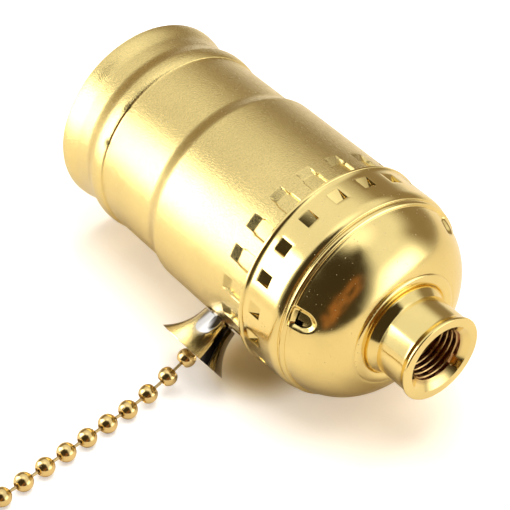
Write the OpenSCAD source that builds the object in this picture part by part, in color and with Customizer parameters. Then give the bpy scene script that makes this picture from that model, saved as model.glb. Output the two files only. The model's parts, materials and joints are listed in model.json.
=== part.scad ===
// Pull-chain lampholder: an E27 lamp socket with a pull-chain switch built into it.
// Origin: centre of the neck's end face. +X leaves the neck, +Z is up, and the socket lies on its side.
// Depths are measured from the neck's end face along -X. Azimuths turn from +Z towards -Y.

/* [Neck] */
// Outside radius of the neck tube
neck_r = 7.2; // [7.1:0.05:7.3]
// Radius of the rolled lip at the neck's end
neck_lip_r = 7.45; // [7.35:0.05:7.6]
// Wall radius of the M10x1 thread, at its crests
neck_thread_r = 4.5; // [4.4:0.1:4.6]
// Depth at which the neck tube meets the cap
neck_depth = 8.6; // [8.55:0.05:8.8]

/* [Cap] */
// Sheet thickness of the cap
cap_wall = 0.4; // [0.3:0.05:0.45]
// Radius where the dome meets the raised ring round the neck
boss_r = 10.2; // [10:0.1:10.4]
// Radius of the dome where it meets the step
dome_r = 17.2; // [17.1:0.05:17.3]
// Radius of the arc that the dome follows
dome_arc_r = 10.4; // [9.5:0.1:11.5]
// Depth of the step below the dome
step_depth = 15.9; // [15.5:0.1:16.2]
// Outside radius of the cap's skirt
skirt_r = 18.35; // [18.3:0.05:18.45]
// Radius of the rolled rim at the skirt's end
cap_rim_r = 18.65; // [18.6:0.05:18.8]
// Depth of the skirt's end
cap_depth = 26.1; // [25.9:0.1:26.3]

/* [Snap ring] */
// Number of snap tabs round the cap
snap_count = 20; // [16:1:22]
// Azimuth of the first snap tab
snap_azimuth = 6.5; // [0:0.5:18]
// Width of one tab's window
snap_width = 2.2; // [2:0.1:2.4]
// Distance that a tab's free end is bent in
snap_bend = 0.35; // [0.3:0.05:0.4]
// Width of one flute pressed into the barrel
flute_width = 3; // [2.8:0.1:3.2]
// Depth of one flute
flute_press = 0.45; // [0.42:0.01:0.5]

/* [Barrel] */
// Sheet thickness of the barrel
shell_wall = 0.45; // [0.4:0.05:0.45]
// Outside radius of the barrel
barrel_r = 17.85; // [17.8:0.05:17.88]
// Radius of the waist between the barrel and the rolled bead
waist_r = 16.95; // [16.9:0.05:17.1]
// Crest radius of the rolled bead
bead_ring_r = 17.45; // [17.3:0.05:17.6]
// Radius at the bottom of the rolled groove
groove_r = 16.6; // [16.55:0.05:16.7]
// Radius of the flared rim round the lamp opening
lamp_rim_r = 17.35; // [17.2:0.05:17.5]
// Depth of the flared rim, which is the socket's overall length
overall_length = 76.5; // [76:0.1:77]

/* [Chain guide] */
// Azimuth of the trumpet-shaped chain guide
bell_azimuth = 121.5; // [121:0.5:122]
// Depth of the chain guide's axis
bell_depth = 35; // [34.5:0.5:35.5]
// Radius of the guide's collar against the barrel
bell_collar_r = 3.2; // [3:0.1:3.4]
// Radius of the guide's mouth
bell_mouth_r = 6.5; // [6.2:0.1:6.8]
// Distance of the mouth from the socket's axis
bell_reach = 24.7; // [24.2:0.1:25]
// Radius of the guide's threaded stem
bell_stem_r = 2.3; // [2.2:0.05:2.35]
// Radius of the guide's bore
bell_bore_r = 1.75; // [1.7:0.01:1.8]

/* [Chain] */
// Radius of one chain bead
bead_r = 1.6; // [1.5:0.05:1.6]
// Radius of a bead's two holes
bead_hole_r = 0.65; // [0.6:0.01:0.66]
// Radius of the wire links between beads
link_r = 0.28; // [0.25:0.01:0.3]
// Distance from one bead to the next
chain_pitch = 4.28; // [4.25:0.01:4.3]
// Distance from the socket's axis to the first bead outside the guide
first_bead_reach = 26.1; // [26:0.1:26.2]
// Turn of the chain towards +X by the time it lies flat
floor_yaw = 6.5; // [0:0.5:10]
// Number of the last bead of the chain, counted from the guide's mouth
last_bead = 22; // [18:1:30]

/* [Lamp contacts] */
// Inside radius of the E27 screw shell, over the lamp's thread
screw_shell_r = 13.35; // [13.3:0.05:13.4]
// Sheet thickness of the screw shell
screw_shell_wall = 0.35; // [0.3:0.05:0.35]
// Depth of the screw shell's mouth
screw_shell_mouth = 69.5; // [69:0.5:70]

/* [Hidden] */
$fn = 96;
fine_steps = 10;

// Depths along the socket
lip_length = 1.3;
neck_flare = 6.6;
boss_depth = 8.45;
bore_chamfer = 0.4;
bushing_end = 11;
swage_depth = 9.8;
tab_free_depth = 21.6;
tab_root_depth = 24;
shell_start = 19.6;
flute_end = 30.4;
barrel_end = 50;
waist_start = 52.6;
waist_end = 65.2;
bead_ring_depth = 67;
bead_ring_half = 1.7;
groove_depth = 69.4;
cover_start = 22;
cover_end = 30.6;
base_end = 48;
cavity_end = 46;
liner_start = 24;
liner_end = 74;

// Radii of the inner parts
liner_r = 15.95;
liner_wall = 0.5;
body_r = 14.6;
cavity_r = 12.9;
rotor_r = 6.2;
spindle_r = 1;
running_gap = 0.05;
rivet_r = 0.9;

// The lever's pivot stands one pitch beside the chain, so two pitches of pull turn it 90 degrees.
inner_links = 6;
pull_links = 2;
pull_travel = pull_links * chain_pitch;
inner_bead_reach = first_bead_reach - inner_links * chain_pitch;
pivot = [inner_bead_reach + pull_travel / 2, chain_pitch];
sweep_r = 8.6;

// Numbering of the chain: bead 1 stands at the guide's mouth, link n joins bead n to bead n + 1.
bend_links = 4;
inner_bead = 1 - inner_links;
floor_bead = bend_links;
swing_bead_1 = 9;
swing_bead_2 = 16;
flange_r = 0.75;
flange_offset = 0.35;
flange_length = 0.4;
bead_wall = 0.25;

rivet_places = [[-8, 6.5], [-8, -5.5], [4, -9.6]];
line_screw = [9.4, -4.4];
neutral_screw = [0, 9.8];

brass = [0.83, 0.68, 0.38];
gold = [0.86, 0.76, 0.5];
nickel = [0.6, 0.56, 0.5];
steel = [0.62, 0.63, 0.65];
phenolic = [0.16, 0.13, 0.12];
fibre = [0.74, 0.6, 0.42];

// ---- Frames ----

// Local +Z runs along the depth, and local +X points at azimuth 0.
module socket_frame() rotate([0, -90, 0]) children();

module at_azimuth(a) rotate([0, 0, -a]) children();

// Local +X is the chain guide's axis, and local +Z is the depth.
module guide_frame() socket_frame() at_azimuth(bell_azimuth) children();

// Local +Z runs outwards along the chain guide's axis.
module guide_axis() guide_frame() translate([0, 0, bell_depth]) rotate([0, 90, 0]) children();

// Local +Z runs along a direction given in the part's own frame.
module point_along(v)
    rotate([0, acos(v[2] / norm(v)), atan2(v[1], v[0])]) children();

module round_snaps()
    for (i = [0 : snap_count - 1])
        at_azimuth(snap_azimuth + 360 / snap_count * i) children();

// ---- Outlines, as points of [radius, depth] ----

function arc(centre, radii, from, to) = [
    for (i = [0 : fine_steps])
        let (a = from + (to - from) * i / fine_steps)
        centre + [radii[0] * cos(a), radii[1] * sin(a)]
];

function shrink(points, wall) = [for (p = points) [p[0] - wall, p[1]]];

function reversed(list) = [for (i = [len(list) - 1 : -1 : 0]) list[i]];

module revolve(points) rotate_extrude() polygon(points);

module tube(r_in, r_out, from, to)
    translate([0, 0, from])
        difference() {
            cylinder(r = r_out, h = to - from);
            translate([0, 0, -1]) cylinder(r = r_in, h = to - from + 2);
        }

module disc(r, from, to) translate([0, 0, from]) cylinder(r = r, h = to - from);

module block(x, y, z)
    translate([x[0], y[0], z[0]]) cube([x[1] - x[0], y[1] - y[0], z[1] - z[0]]);

// ---- Cap and neck ----

function unit(v) = v / norm(v);

dome_from = [boss_r, boss_depth];
dome_to = [dome_r, step_depth];
dome_chord = dome_to - dome_from;
dome_sag = sqrt(pow(dome_arc_r, 2) - pow(norm(dome_chord) / 2, 2));
dome_centre = (dome_from + dome_to) / 2 - dome_sag * unit([dome_chord[1], -dome_chord[0]]);
dome_angles = [for (p = [dome_from, dome_to]) atan2(p[1] - dome_centre[1], p[0] - dome_centre[0])];
hole_r = neck_r - 0.45;
collar_r = neck_r + 0.55;
ring_start = collar_r + 0.2;
ring_height = 0.35;
step_bead_r = 17.9;

// The dome's arc set in by a wall, begun a little later where it meets the flat round the neck.
function dome_arc(inset, later = 0) =
    let (r = dome_arc_r - inset)
    arc(dome_centre, [r, r], dome_angles[0] + later, dome_angles[1]);

function cap_outside() = concat(
    [[hole_r, neck_depth], [ring_start, neck_depth]],
    arc([(boss_r + ring_start) / 2, boss_depth], [(boss_r - ring_start) / 2, ring_height], -175, -5),
    dome_arc(0),
    arc([step_bead_r - 0.7, step_depth + 0.9], [0.7, 0.7], -60, 0),
    arc([skirt_r - 0.6, step_depth + 2.6], [0.6, 0.9], -75, 0),
    [[skirt_r, cap_depth - 1.3], [cap_rim_r, cap_depth - 0.6], [cap_rim_r, cap_depth]]
);

function cap_inside() = concat(
    [[hole_r, neck_depth + cap_wall], [boss_r + 0.3, neck_depth + cap_wall]],
    dome_arc(cap_wall, 4),
    arc([step_bead_r - 0.7, step_depth + 0.9], [0.7 - cap_wall, 0.7 - cap_wall], -60, 0),
    [[skirt_r - cap_wall, step_depth + 2.4], [skirt_r - cap_wall, cap_depth]]
);

lance_azimuth = 68;
lance_width = 1.7;

module lances() for (i = [0 : 2]) at_azimuth(lance_azimuth + 120 * i) children();

module snap_tab() {
    out = skirt_r - 0.03;
    rotate([90, 0, 0])
        linear_extrude(snap_width - 0.4, center = true)
            polygon([
                [out, tab_root_depth + 0.2], [out - cap_wall, tab_root_depth + 0.2],
                [out - cap_wall, tab_root_depth], [out - cap_wall - snap_bend, tab_free_depth + 0.15],
                [out - snap_bend, tab_free_depth + 0.15], [out, tab_root_depth]
            ]);
}

module cap() color(gold)
    socket_frame() {
        difference() {
            revolve(concat(cap_outside(), reversed(cap_inside())));
            round_snaps()
                block([skirt_r - 1, skirt_r + 1], [-snap_width / 2, snap_width / 2],
                      [tab_free_depth, tab_root_depth]);
            lances()
                block([dome_r - 2, dome_r + 1], [-lance_width / 2, lance_width / 2],
                      [step_depth - 2.9, step_depth - 1.3]);
        }
        round_snaps() snap_tab();
    }

module neck_bushing() color(gold)
    socket_frame()
        revolve([
            [neck_thread_r, bore_chamfer], [neck_thread_r + bore_chamfer + 0.1, 0],
            [neck_lip_r - 0.4, 0], [neck_lip_r, 0.4], [neck_lip_r, lip_length - 0.5],
            [neck_r, lip_length], [neck_r, neck_flare], [neck_r + 0.15, neck_flare + 0.8],
            [collar_r, neck_flare + 1.4], [collar_r, neck_depth], [hole_r - running_gap, neck_depth],
            [hole_r - running_gap, swage_depth], [hole_r + 0.9, swage_depth],
            [hole_r + 0.6, bushing_end], [neck_thread_r, bushing_end]
        ]);

module bushing_washer() color(steel)
    socket_frame() tube(hole_r, 8.9, neck_depth + cap_wall, swage_depth);

// A fibre cup that lines the dome and carries the wires' way in.
insulator_gap = 0.25;
insulator_wall = 0.3;
insulator_hole_r = 9.4;

module cap_insulator() color(fibre) {
    out = dome_arc(cap_wall + insulator_gap, 5);
    in = dome_arc(cap_wall + insulator_gap + insulator_wall, 5);
    socket_frame()
        revolve(concat(
            [[insulator_hole_r, out[0][1]]], out, [[out[fine_steps][0], cover_start]],
            [[in[fine_steps][0], cover_start]], reversed(in), [[insulator_hole_r, in[0][1]]]
        ));
}

// ---- Barrel, with flutes for the snap tabs and a slot for the chain guide ----

function barrel_outside() = concat(
    [[barrel_r, shell_start], [barrel_r, barrel_end]],
    [for (i = [1 : fine_steps])
        let (t = i / fine_steps)
        [waist_r + (barrel_r - waist_r) * (1 + cos(180 * t)) / 2 - 0.35 * sin(180 * t),
         barrel_end + (waist_start - barrel_end) * t]],
    [[waist_r, waist_end]],
    arc([waist_r - 0.1, bead_ring_depth], [bead_ring_r - waist_r + 0.1, bead_ring_half], -80, 60),
    [[groove_r, groove_depth], [groove_r + 0.1, groove_depth + 1.2]],
    [[groove_r + 0.15, overall_length - 3], [groove_r + 0.35, overall_length - 1.2]],
    [[lamp_rim_r, overall_length - 0.4], [lamp_rim_r, overall_length]]
);

module flute_block(inset, width, reach, end)
    block([barrel_r - inset, barrel_r - inset + reach], [-width / 2, width / 2], [shell_start - 1, end]);

module guide_slot(half_width, start)
    at_azimuth(bell_azimuth)
        union() {
            block([5, skirt_r], [-half_width, half_width], [start, bell_depth]);
            translate([5, 0, bell_depth]) rotate([0, 90, 0]) cylinder(r = half_width, h = skirt_r - 5);
        }

module barrel_shell() color(gold)
    socket_frame()
        difference() {
            union() {
                at_azimuth(bell_azimuth)
                    revolve(concat(barrel_outside(), reversed(shrink(barrel_outside(), shell_wall))));
                round_snaps()
                    intersection() {
                        flute_block(flute_press + shell_wall, flute_width + 0.9, 0.8, flute_end + 0.45);
                        disc(barrel_r - 0.1, shell_start, flute_end + 0.45);
                    }
            }
            round_snaps() flute_block(flute_press, flute_width, 1.5, flute_end);
            guide_slot(bell_stem_r + 0.15, shell_start - 1);
        }

module insulating_sleeve() color(fibre)
    socket_frame()
        difference() {
            tube(liner_r - liner_wall, liner_r, liner_start, liner_end);
            guide_slot(bell_stem_r + 0.3, liner_start - 1);
        }

// ---- Switch body ----

guide_hole_gap = 0.05;
seat_gap = 0.02;
cover_flange_r = 16.3;
cover_flange = 1.5;
plate_thick = 0.6;
plate_seat = cover_start + 1.4;
strip_thick = 0.4;
strip_half = 1.1;
contact_gap = 0.06;
blade_ends = [40.9, 43];
line_x = pivot[0] + rotor_r + contact_gap;
lamp_x = pivot[0] - rotor_r - contact_gap - strip_thick;
neutral_half = 1.6;
neutral_y = body_r + 0.05;
screw_r = 1.4;
screw_head_r = 2.4;
screw_head = 1.5;
screw_length = 5;
nut_inner = 12.7;
nut_outer = 14.2;
nut_half = 3;

module at_rivets() for (p = rivet_places) translate([p[0], p[1], 0]) children();

module at_terminal_screws()
    for (p = [line_screw, neutral_screw]) translate([p[0], p[1], 0]) children();

module at_pivot() translate([pivot[0], pivot[1], 0]) children();

module line_plate_area(gap)
    block([line_screw[0] - 2 - gap, line_x + strip_thick + gap],
          [line_screw[1] - 2.2 - gap, pivot[1] + strip_half + gap],
          [plate_seat - plate_thick - 2 * gap, plate_seat]);

module neutral_plate_area(gap)
    block([-neutral_half - gap, neutral_half + gap],
          [neutral_screw[1] - 2.2 - gap, neutral_y + strip_thick],
          [plate_seat - plate_thick - 2 * gap, plate_seat]);

module line_riser(gap, to)
    block([line_x - gap, line_x + strip_thick + gap],
          [pivot[1] - strip_half - gap, pivot[1] + strip_half + gap], [plate_seat - plate_thick, to]);

module switch_cover() color(phenolic)
    guide_frame()
        difference() {
            union() {
                disc(body_r, cover_start, cover_end);
                disc(cover_flange_r, cover_start, cover_start + cover_flange);
            }
            line_plate_area(0.5);
            neutral_plate_area(0.5);
            block([-neutral_half - 0.5, neutral_half + 0.5], [neutral_y - 0.05, cover_flange_r + 1],
                  [cover_start - 1, cover_end + 1]);
            at_terminal_screws() {
                disc(screw_head_r + 0.4, cover_start - 1, plate_seat);
                disc(screw_r + running_gap, cover_start, plate_seat + screw_length);
            }
            line_riser(0.1, cover_end + 1);
            at_rivets() disc(rivet_r + seat_gap, cover_start - 1, cover_end + 1);
            at_pivot() disc(spindle_r + seat_gap, cover_end - 2.5, cover_end + 1);
        }

module switch_base() color(phenolic)
    guide_frame()
        difference() {
            disc(body_r, cover_end, base_end);
            intersection() {
                disc(cavity_r, cover_end - 1, cavity_end);
                at_pivot() disc(sweep_r, cover_end - 1, cavity_end);
            }
            at_pivot() disc(spindle_r + seat_gap, cavity_end - 1, cavity_end + 1.2);
            translate([cavity_r - 2, 0, bell_depth]) rotate([0, 90, 0]) cylinder(r = 2.1, h = 2);
            translate([cavity_r - 0.5, 0, bell_depth]) rotate([0, 90, 0])
                cylinder(r = bell_stem_r + guide_hole_gap, h = 4);
            block([nut_inner - 0.1, nut_outer + 0.1], [-nut_half - 0.1, nut_half + 0.1],
                  [cover_end - 1, bell_depth + nut_half + 0.1]);
            at_rivets() disc(rivet_r + seat_gap, cover_end - 1, base_end + 1);
            block([lamp_x - seat_gap, lamp_x + strip_thick + seat_gap],
                  [pivot[1] - strip_half - seat_gap, pivot[1] + strip_half + seat_gap],
                  [cavity_end - 1, base_end + 1]);
            block([-neutral_half - 0.1, neutral_half + 0.1], [neutral_screw[1] - 1.9, body_r + 1],
                  [base_end - strip_thick, base_end + 1]);
            translate([0, pivot[1], 0]) disc(0.7 + seat_gap, cavity_end + 0.5, base_end + 1);
        }

module cover_rivets() color(brass)
    guide_frame() at_rivets() {
        disc(rivet_r, cover_start, base_end + screw_shell_wall);
        disc(1.7, cover_start - 0.6, cover_start);
        disc(1.7, base_end + screw_shell_wall, base_end + screw_shell_wall + 0.6);
    }

module line_terminal() color(brass)
    guide_frame()
        difference() {
            union() {
                line_plate_area(0);
                line_riser(0, blade_ends[1]);
            }
            translate([line_screw[0], line_screw[1], 0])
                disc(screw_r + running_gap, plate_seat - 2, plate_seat + 1);
        }

module neutral_terminal() color(brass)
    guide_frame()
        difference() {
            union() {
                neutral_plate_area(0);
                block([-neutral_half, neutral_half], [neutral_y, neutral_y + strip_thick],
                      [plate_seat - plate_thick, base_end]);
                block([-neutral_half, neutral_half], [neutral_screw[1] - 1.8, neutral_y + strip_thick],
                      [base_end - strip_thick, base_end]);
            }
            translate([neutral_screw[0], neutral_screw[1], 0])
                disc(screw_r + running_gap, plate_seat - 2, plate_seat + 1);
        }

module terminal_screws() color(steel)
    guide_frame() at_terminal_screws() {
        disc(screw_r, plate_seat - plate_thick, plate_seat + screw_length - 0.4);
        difference() {
            disc(screw_head_r, plate_seat - plate_thick - screw_head, plate_seat - plate_thick);
            block([-3, 3], [-0.35, 0.35], [plate_seat - plate_thick - screw_head - 1,
                                           plate_seat - plate_thick - screw_head + 0.7]);
        }
    }

// ---- Lamp contacts ----

shell_floor_r = 12.4;
shell_hole_r = 6.2;
cone_end = 52.2;
tongue_root = 2.75;
tongue_half = 1.5;

module screw_shell() color(brass)
    socket_frame()
        difference() {
            revolve([
                [shell_hole_r, base_end], [shell_floor_r, base_end],
                [screw_shell_r + screw_shell_wall, cone_end],
                [screw_shell_r + screw_shell_wall, screw_shell_mouth], [screw_shell_r, screw_shell_mouth],
                [screw_shell_r, cone_end], [shell_floor_r - 0.2, base_end + screw_shell_wall],
                [shell_hole_r, base_end + screw_shell_wall]
            ]);
            at_azimuth(bell_azimuth) at_rivets() disc(rivet_r + seat_gap, base_end - 1, base_end + 1);
        }

module lamp_contact_blade() color(brass)
    guide_frame()
        difference() {
            union() {
                block([lamp_x, lamp_x + strip_thick], [pivot[1] - strip_half, pivot[1] + strip_half],
                      [blade_ends[0], base_end + strip_thick]);
                block([lamp_x, tongue_half], [tongue_root, pivot[1] + strip_half],
                      [base_end, base_end + strip_thick]);
            }
            translate([0, pivot[1], 0]) disc(0.7 + seat_gap, base_end - 1, base_end + 1);
        }

module contact_rivet() color(brass)
    guide_frame() translate([0, pivot[1], 0]) {
        disc(0.7, cavity_end + 0.6, base_end + strip_thick);
        disc(1.2, base_end + strip_thick, base_end + strip_thick + 0.5);
    }

module center_contact() color(brass)
    guide_frame()
        rotate([90, 0, 90])
            linear_extrude(2 * tongue_half, center = true)
                polygon([
                    [tongue_root - 0.15, base_end + 0.1], [tongue_root - 0.15, base_end + 0.5],
                    [-1.9, base_end + 3.9], [-2.4, base_end + 3.9], [-3.4, base_end + 3.3],
                    [-3.4, base_end + 2.8], [-2.3, base_end + 3.4]
                ]);

// ---- Pull mechanism ----

plate_depths = [37.2, 38.2];
plate_half = 2.85;
plate_reach = 7.6;
fork_play = 0.42;
prong_inner = bead_r + fork_play;
prong_outer = prong_inner + 0.4;
prong_ends = [4.7, 6.6];
ratchet_depths = [38.65, 39.55];
ratchet_r = 4.6;
notch_half = 0.7;
rotor_depths = [39.55, 44.6];
bar_half = 1;
bar_depths = [41.2, 42.7];
hub_r = 1.9;
coil_r = 2.65;
coil_wire_r = 0.22;
coil_turns = 3;
coil_start = 31.1;
coil_pitch = 0.55;
leg_length = 3.6;

module lever_spindle() color(steel)
    guide_frame() at_pivot() disc(spindle_r, cover_end - 2.4, cavity_end + 1.1);

// In the lever's own frame +X is the arm, which points at the innermost bead.
module lever_frame() guide_frame() at_pivot() rotate([0, 0, -135]) children();

module pull_lever() color(steel)
    lever_frame()
        difference() {
            union() {
                disc(hub_r, cover_end + 0.3, plate_depths[1]);
                disc(plate_half, plate_depths[0], plate_depths[1]);
                block([0, plate_reach], [-plate_half, plate_half], plate_depths);
                block(prong_ends, [-prong_outer, -prong_inner], [bell_depth - 1.4, plate_depths[0]]);
                block(prong_ends, [prong_inner, prong_outer], [bell_depth + 0.45, plate_depths[0]]);
            }
            disc(spindle_r + running_gap, cover_end, plate_depths[1] + 1);
        }

module pawl() color(steel)
    lever_frame() {
        block([-5.4, -2.2], [-0.8, 0.8], [plate_depths[1], plate_depths[1] + 0.35]);
        block([-4.3, -3.6], [-0.5, 0.5], [plate_depths[1] + 0.3, ratchet_depths[1] - 0.2]);
    }

module ratchet_wheel() color(steel)
    lever_frame()
        difference() {
            disc(ratchet_r, ratchet_depths[0], ratchet_depths[1]);
            disc(spindle_r + running_gap, ratchet_depths[0] - 1, ratchet_depths[1] + 1);
            for (i = [0 : 3])
                rotate([0, 0, 90 * i])
                    block([3.3, ratchet_r + 1], [-notch_half, notch_half],
                          [ratchet_depths[0] - 1, ratchet_depths[1] + 1]);
        }

module contact_bar(gap, ends)
    intersection() {
        at_pivot() disc(rotor_r, bar_depths[0] - 1, bar_depths[1] + 1);
        block([pivot[0] - ends, pivot[0] + ends], [pivot[1] - bar_half - gap, pivot[1] + bar_half + gap],
              [bar_depths[0] - gap, bar_depths[1] + gap]);
    }

module rotor() color(phenolic)
    guide_frame()
        difference() {
            at_pivot() disc(rotor_r, rotor_depths[0], rotor_depths[1]);
            at_pivot() disc(spindle_r + running_gap, rotor_depths[0] - 1, rotor_depths[1] + 1);
            contact_bar(seat_gap, rotor_r + 1);
        }

module rotor_contact() color(brass)
    guide_frame()
        difference() {
            contact_bar(0, rotor_r + 1);
            at_pivot() disc(spindle_r + running_gap, bar_depths[0] - 1, bar_depths[1] + 1);
        }

// A round wire swept along a path of points.
module wire(path, r, sides = 10) {
    last = len(path) - 1;
    rings = [
        for (i = [0 : last])
            let (t = unit(path[min(i + 1, last)] - path[max(i - 1, 0)]),
                 n = unit(cross(t, [0, 0, 1])),
                 b = cross(n, t))
            for (j = [0 : sides - 1])
                path[i] + r * (cos(360 / sides * j) * n + sin(360 / sides * j) * b)
    ];
    walls = [
        for (i = [0 : last - 1])
            for (j = [0 : sides - 1])
                let (k = (j + 1) % sides)
                [i * sides + j, i * sides + k, (i + 1) * sides + k, (i + 1) * sides + j]
    ];
    ends = [[for (j = [sides - 1 : -1 : 0]) j], [for (j = [0 : sides - 1]) last * sides + j]];
    polyhedron(points = rings, faces = concat(walls, ends));
}

function spring_path(steps_per_turn = 24) = let (steps = coil_turns * steps_per_turn)
    concat(
        [[coil_r, -leg_length, coil_start]],
        [for (i = [0 : steps])
            let (a = 360 * i / steps_per_turn)
            [coil_r * cos(a), coil_r * sin(a), coil_start + coil_pitch * i / steps_per_turn]],
        [[coil_r, leg_length, coil_start + coil_pitch * coil_turns]]
    );

module return_spring() color(steel)
    guide_frame() at_pivot() rotate([0, 0, 180]) wire(spring_path(), coil_wire_r);

// ---- Chain guide ----

module chain_guide() color(nickel) {
    length = bell_reach - barrel_r - 0.1;
    flare = bell_mouth_r - bell_collar_r;
    outside = [
        for (i = [0 : 12])
            let (t = i / 12)
            [bell_collar_r + flare * (0.25 * t + 0.75 * pow(t, 2.6)), bell_reach - length * (1 - t)]
    ];
    inside = [for (i = [1 : 12]) [max(outside[i][0] - 0.45, bell_bore_r), outside[i][1]]];
    guide_axis()
        revolve(concat(
            [[bell_bore_r, cavity_r - 0.2], [bell_stem_r, cavity_r - 0.2],
             [bell_stem_r, bell_reach - length]],
            outside, reversed(inside), [[bell_bore_r, bell_reach - length + 0.5]]
        ));
}

module guide_nut() color(brass)
    guide_frame()
        difference() {
            block([nut_inner, nut_outer], [-nut_half, nut_half],
                  [bell_depth - nut_half, bell_depth + nut_half]);
            translate([nut_inner - 1, 0, bell_depth]) rotate([0, 90, 0])
                cylinder(r = bell_stem_r + seat_gap, h = 4);
        }

// ---- Chain, in the part's own frame ----

bell_down = bell_azimuth - 90;

function link_way(n) =
    let (t = min(max(n, 0), bend_links) / bend_links, down = bell_down * (1 - t), yaw = floor_yaw * t)
    [cos(down) * sin(yaw), -cos(down) * cos(yaw), -sin(down)];

function bead_place(n) = n <= 1
    ? [-bell_depth, 0, 0] + (first_bead_reach + (n - 1) * chain_pitch) * link_way(0)
    : bead_place(n - 1) + chain_pitch * link_way(n - 1);

// A bead's holes face midway between the ways its two links point while the chain is pulled.
module bead(n, way) color(brass)
    translate(bead_place(n)) point_along(way)
        difference() {
            sphere(r = bead_r);
            sphere(r = bead_r - bead_wall);
            cylinder(r = bead_hole_r, h = 4 * bead_r, center = true);
        }

module link(n) color(brass)
    translate(bead_place(n)) point_along(link_way(n)) {
        disc(link_r, flange_offset, chain_pitch - flange_offset);
        disc(flange_r, flange_offset, flange_offset + flange_length);
        disc(flange_r, chain_pitch - flange_offset - flange_length, chain_pitch - flange_offset);
    }

module beads(from, to) for (n = [from : to]) bead(n, link_way(n));

module links(from, to) for (n = [from : to]) link(n);

// A bead that rides round the bend turns its holes to the middle of the links' swing.
module guide_bead(n) bead(n, link_way(n + (pull_links - 1) / 2));

// ---- Nodes ----

cap();
neck_bushing();
bushing_washer();
cap_insulator();
switch_cover();
switch_base();
cover_rivets();
line_terminal();
neutral_terminal();
terminal_screws();
lamp_contact_blade();
screw_shell();
contact_rivet();
lever_spindle();
chain_guide();
guide_nut();
return_spring();
rotor();
rotor_contact();
ratchet_wheel();
pull_lever();
pawl();
center_contact();
barrel_shell();
insulating_sleeve();
beads(inner_bead, -1);  // inner_beads
links(inner_bead, -2);  // inner_links
guide_bead(0);  // guide_bead_0
guide_bead(1);  // guide_bead_1
guide_bead(2);  // guide_bead_2
guide_bead(3);  // guide_bead_3
link(-1);  // guide_link_0
link(0);  // guide_link_1
link(1);  // guide_link_2
link(2);  // guide_link_3
link(3);  // guide_link_4
beads(floor_bead, swing_bead_1);  // chain_beads_a
links(floor_bead, swing_bead_1 - 1);  // chain_links_a
beads(swing_bead_1 + 1, swing_bead_2);  // chain_beads_b
links(swing_bead_1, swing_bead_2 - 1);  // chain_links_b
beads(swing_bead_2 + 1, last_bead);  // chain_beads_c
links(swing_bead_2, last_bead - 1);  // chain_links_c
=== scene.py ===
import json
import math

import bmesh
import bpy
import numpy as np
from mathutils import Matrix, Vector

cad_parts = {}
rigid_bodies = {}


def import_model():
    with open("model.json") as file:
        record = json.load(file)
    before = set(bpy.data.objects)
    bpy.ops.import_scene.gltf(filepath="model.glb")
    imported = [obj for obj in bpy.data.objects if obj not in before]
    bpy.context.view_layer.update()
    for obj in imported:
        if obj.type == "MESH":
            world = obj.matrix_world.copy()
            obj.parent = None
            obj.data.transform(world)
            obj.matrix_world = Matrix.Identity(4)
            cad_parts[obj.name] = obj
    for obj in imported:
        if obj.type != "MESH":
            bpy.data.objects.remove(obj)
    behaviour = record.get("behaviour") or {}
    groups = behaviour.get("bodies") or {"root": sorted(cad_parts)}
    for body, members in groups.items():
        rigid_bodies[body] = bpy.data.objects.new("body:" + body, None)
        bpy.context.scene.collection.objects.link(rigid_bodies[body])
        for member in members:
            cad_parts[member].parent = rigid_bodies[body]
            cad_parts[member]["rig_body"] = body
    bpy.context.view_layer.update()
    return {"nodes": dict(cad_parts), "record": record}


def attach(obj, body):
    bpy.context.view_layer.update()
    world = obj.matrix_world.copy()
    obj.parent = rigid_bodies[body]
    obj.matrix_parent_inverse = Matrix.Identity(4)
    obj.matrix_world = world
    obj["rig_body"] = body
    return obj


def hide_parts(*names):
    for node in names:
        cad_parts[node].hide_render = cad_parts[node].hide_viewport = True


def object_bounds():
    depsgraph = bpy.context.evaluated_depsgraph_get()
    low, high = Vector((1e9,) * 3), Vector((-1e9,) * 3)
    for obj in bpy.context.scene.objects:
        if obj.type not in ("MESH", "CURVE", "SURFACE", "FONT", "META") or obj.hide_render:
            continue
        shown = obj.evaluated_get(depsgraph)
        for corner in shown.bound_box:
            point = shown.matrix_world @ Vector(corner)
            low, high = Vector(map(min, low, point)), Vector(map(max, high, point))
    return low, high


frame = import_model()

# Shapes are in mm and degrees, and the floor, the lights and the camera in metres. Depth runs from the neck's
# end face towards the lamp opening, and azimuth runs round the axis from straight up towards -Y.
MM = 0.001
SNAPS = 20
SNAP_AZIMUTH, SNAP_TURN = 6.5, 360 / SNAPS
SNAP_MIDDLES = [SNAP_AZIMUTH + SNAP_TURN * k for k in range(SNAPS)]
LANCE_AZIMUTHS = (68.0, 188.0, 308.0)
GUIDE_AZIMUTH = 121.5
GUIDE_DEPTH = 35.0


# ---------------------------------------------------------------- geometry helpers


def around(z, r, phi):
    """A point at depth z, radius r and azimuth phi (degrees), in metres."""
    a = np.radians(phi)
    return np.stack(np.broadcast_arrays(-z, -r * np.sin(a), r * np.cos(a)), -1) * MM


def arc(centre, radii, start, end, steps):
    """[radius, depth] points along an ellipse's arc."""
    a = np.radians(np.linspace(start, end, steps + 1))
    return np.stack([centre[0] + radii[0] * np.cos(a), centre[1] + radii[1] * np.sin(a)], -1)


def line(start, end, step):
    """[radius, depth] points along a straight line, about one step apart."""
    n = max(1, int(round(math.dist(start, end) / step)))
    return np.linspace(start, end, n + 1)


def ease(start, end, step=0.14):
    """An S-curve between two [radius, depth] points, flat at both ends."""
    n = max(2, int(round(math.dist(start, end) / step)))
    t = np.linspace(0, 1, n + 1)
    radius = start[0] + (end[0] - start[0]) * t * t * (3 - 2 * t)
    return np.stack([radius, start[1] + (end[1] - start[1]) * t], -1)


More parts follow.
